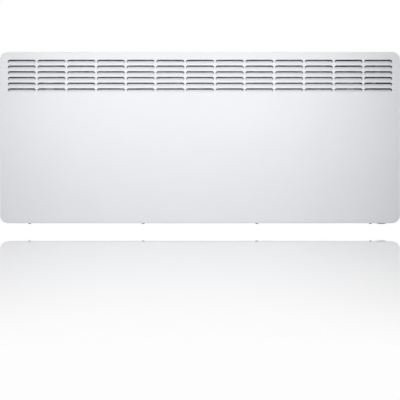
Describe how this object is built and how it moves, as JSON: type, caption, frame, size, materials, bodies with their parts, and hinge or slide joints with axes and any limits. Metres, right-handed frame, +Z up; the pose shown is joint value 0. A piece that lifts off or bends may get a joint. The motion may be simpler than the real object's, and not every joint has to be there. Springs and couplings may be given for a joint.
{
  "type": "wall panel convector heater",
  "caption": "Flat white sheet-steel wall convector with a pressed louvre grille along its top, hung on a steel wall bracket, warming a room by natural convection.",
  "frame": {"origin": "centre of the bracket rail's rear face, on the wall plane", "axes": "+X to the right seen from the room, +Y into the wall, +Z up"},
  "size_m": [1.05, 0.1, 0.4522],
  "materials": {
    "white_coat": "fine-textured white powder coat",
    "galvanised": "hot-dip galvanised, matt spangle",
    "zinc_plated": "bright zinc plated",
    "bright_aluminium": "bright rolled",
    "fin_aluminium": "mill finish",
    "stainless": "heat-tinted satin",
    "black_steel": "black oxide",
    "black_plastic": "fine moulded grain",
    "ceramic": null,
    "phenolic": "dark moulded resin",
    "pcb_green": "solder-masked board",
    "grey_plastic": "satin moulded",
    "button_plastic": "satin moulded",
    "lcd_frame": "light guide",
    "lcd_glass": "dark display glass",
    "clear_window": "clear moulded lens",
    "rocker_plastic": "gloss moulded, light grey",
    "relay_black": "gloss moulded",
    "film_grey": "boxed film capacitor",
    "transformer": "varnished core",
    "brass": "turned",
    "wire_brown": "heat-resisting sheath",
    "wire_green": "green and yellow sheath",
    "wire_black": "black sheath"
  },
  "bodies": {
    "bracket": {"bracket_rail": "zinc_plated", "bracket_arm_left": "zinc_plated", "bracket_arm_right": "zinc_plated", "bracket_rivets": "zinc_plated"},
    "heater": {"front_panel": "white_coat", "casing_wrap": "white_coat", "back_plate": "galvanised", "casing_rivets": "bright_aluminium", "casing_screws": "black_steel", "partition_left": "galvanised", "partition_right": "galvanised", "front_shield": "bright_aluminium", "rear_shield": "galvanised", "chamber_rivets": "bright_aluminium", "element_tube": "stainless", "element_fins": "fin_aluminium", "element_ferrules": "brass", "element_insulators": "ceramic", "element_terminals": "zinc_plated", "element_hangers": "zinc_plated", "thermal_cutouts": "phenolic", "control_bezel": "black_plastic", "control_housing": "black_plastic", "control_board": "pcb_green", "board_screws": "zinc_plated", "tact_switches": "relay_black", "display_module": "lcd_frame", "display_glass": "lcd_glass", "display_window": "clear_window", "rear_screws": "zinc_plated", "switch_frame": "grey_plastic", "switch_terminals": "brass", "power_tray": "black_plastic", "power_board": "pcb_green", "power_relay": "relay_black", "power_capacitor": "film_grey", "supply_transformer": "transformer", "terminal_block": "grey_plastic", "terminal_screws": "zinc_plated", "board_plugs": "lcd_frame", "sensor_clip": "black_plastic", "room_sensor": "wire_black", "cord_grommet": "wire_black", "cord_clamp": "grey_plastic", "earth_stud": "brass", "earth_lug": "zinc_plated", "earth_nut": "brass", "switch_wires": "wire_brown", "element_wires": "wire_brown", "earth_wire": "wire_green", "sensor_lead": "wire_black", "display_cable": "wire_black"},
    "latch_left": {"latch_left": "black_plastic"},
    "latch_right": {"latch_right": "black_plastic"},
    "rocker": {"switch_rocker": "rocker_plastic"},
    "button_power": {"button_power": "button_plastic"},
    "button_mode": {"button_mode": "button_plastic"},
    "button_timer": {"button_timer": "button_plastic"},
    "button_minus": {"button_minus": "button_plastic"},
    "button_plus": {"button_plus": "button_plastic"}
  },
  "joints": [
    {"name": "heater_lift", "type": "slide", "parent": "bracket", "child": "heater", "axis": [0, 0, 1], "range_m": [0, 0.01]},
    {"name": "latch_left_turn", "type": "hinge", "parent": "bracket", "child": "latch_left", "pos_m": [-0.4, -0.017, 0.143], "axis": [0, 1, 0], "range_deg": [0, 90]},
    {"name": "latch_right_turn", "type": "hinge", "parent": "bracket", "child": "latch_right", "pos_m": [0.4, -0.017, 0.143], "axis": [0, -1, 0], "range_deg": [0, 90]},
    {"name": "power_rocker", "type": "hinge", "parent": "heater", "child": "rocker", "pos_m": [0.479, -0.0565, -0.2206], "axis": [-1, 0, 0], "range_deg": [0, 12]},
    {"name": "button_power_press", "type": "slide", "parent": "heater", "child": "button_power", "axis": [0, 0, -1], "range_m": [0, 0.0008], "stiffness_N_per_m": 1500, "springref_m": -0.0005},
    {"name": "button_mode_press", "type": "slide", "parent": "heater", "child": "button_mode", "axis": [0, 0, -1], "range_m": [0, 0.0008], "stiffness_N_per_m": 1500, "springref_m": -0.0005},
    {"name": "button_timer_press", "type": "slide", "parent": "heater", "child": "button_timer", "axis": [0, 0, -1], "range_m": [0, 0.0008], "stiffness_N_per_m": 1500, "springref_m": -0.0005},
    {"name": "button_minus_press", "type": "slide", "parent": "heater", "child": "button_minus", "axis": [0, 0, -1], "range_m": [0, 0.0008], "stiffness_N_per_m": 1500, "springref_m": -0.0005},
    {"name": "button_plus_press", "type": "slide", "parent": "heater", "child": "button_plus", "axis": [0, 0, -1], "range_m": [0, 0.0008], "stiffness_N_per_m": 1500, "springref_m": -0.0005}
  ]
}
